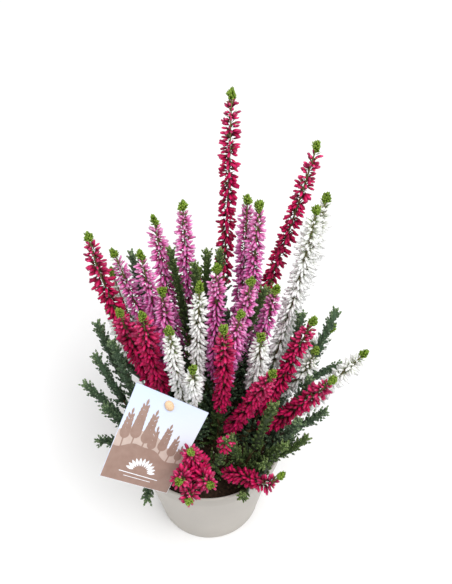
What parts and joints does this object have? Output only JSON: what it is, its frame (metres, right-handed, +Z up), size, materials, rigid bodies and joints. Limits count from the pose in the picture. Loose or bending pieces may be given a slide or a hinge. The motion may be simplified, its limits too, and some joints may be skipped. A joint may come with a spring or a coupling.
{
  "type": "potted heather",
  "caption": "Bushy heather with crimson, pink and white flower spikes and grey-green shoots, in a plain round pot with a card on a stake.",
  "frame": {"origin": "middle of the pot's flat underside", "axes": "+Z up along the pot's axis; -Y is the viewer's side, where the card faces; +X is to the viewer's right"},
  "size_m": [0.1869, 0.1952, 0.3138],
  "materials": {
    "pot_plastic": "plain moulded plastic, fine matte texture",
    "soil": "dark crumbly potting soil",
    "card": "coated printed card",
    "stake_wood": "pale smooth wood",
    "stem_leaf": "woody twigs with small scale leaves",
    "foliage": "grey-green scale leaves",
    "crimson_bloom": "satin crimson flower buds",
    "pink_bloom": "satin pink flower buds",
    "white_bloom": "satin white flower buds"
  },
  "bodies": {
    "root": {"crimson_back_spike_1": "crimson_bloom", "crimson_back_spike_2": "crimson_bloom", "crimson_back_spike_3": "crimson_bloom", "crimson_back_stem": "stem_leaf", "crimson_front_spike_1": "crimson_bloom", "crimson_front_spike_2": "crimson_bloom", "crimson_front_stem": "stem_leaf", "crimson_left_spike_1": "crimson_bloom", "crimson_left_spike_2": "crimson_bloom", "crimson_left_spike_3": "crimson_bloom", "crimson_left_stem": "stem_leaf", "crimson_middle_spike_1": "crimson_bloom", "crimson_middle_spike_2": "crimson_bloom", "crimson_middle_stem": "stem_leaf", "crimson_right_spike_1": "crimson_bloom", "crimson_right_spike_2": "crimson_bloom", "crimson_right_stem": "stem_leaf", "green_back_shoots": "foliage", "green_centre_shoots": "foliage", "green_front_shoots": "foliage", "green_left_shoots": "foliage", "green_rear_left_shoots": "foliage", "green_rear_right_shoots": "foliage", "green_right_shoots": "foliage", "pink_back_spike_1": "pink_bloom", "pink_back_spike_2": "pink_bloom", "pink_back_spike_3": "pink_bloom", "pink_back_stem": "stem_leaf", "pink_left_spike_1": "pink_bloom", "pink_left_spike_2": "pink_bloom", "pink_left_spike_3": "pink_bloom", "pink_left_stem": "stem_leaf", "pink_middle_spike_1": "pink_bloom", "pink_middle_spike_2": "pink_bloom", "pink_middle_spike_3": "pink_bloom", "pink_middle_stem": "stem_leaf", "pink_right_spike_1": "pink_bloom", "pink_right_spike_2": "pink_bloom", "pink_right_spike_3": "pink_bloom", "pink_right_spike_4": "pink_bloom", "pink_right_stem": "stem_leaf", "pot": "pot_plastic", "soil": "soil", "tag_card": "card", "tag_stake": "stake_wood", "white_left_spike_1": "white_bloom", "white_left_spike_2": "white_bloom", "white_left_spike_3": "white_bloom", "white_left_stem": "stem_leaf", "white_rear_spike_1": "white_bloom", "white_rear_spike_2": "white_bloom", "white_rear_stem": "stem_leaf", "white_right_spike_1": "white_bloom", "white_right_spike_2": "white_bloom", "white_right_spike_3": "white_bloom", "white_right_spike_4": "white_bloom", "white_right_stem": "stem_leaf", "white_side_spike_1": "white_bloom", "white_side_spike_2": "white_bloom", "white_side_stem": "stem_leaf"}
  },
  "joints": []
}
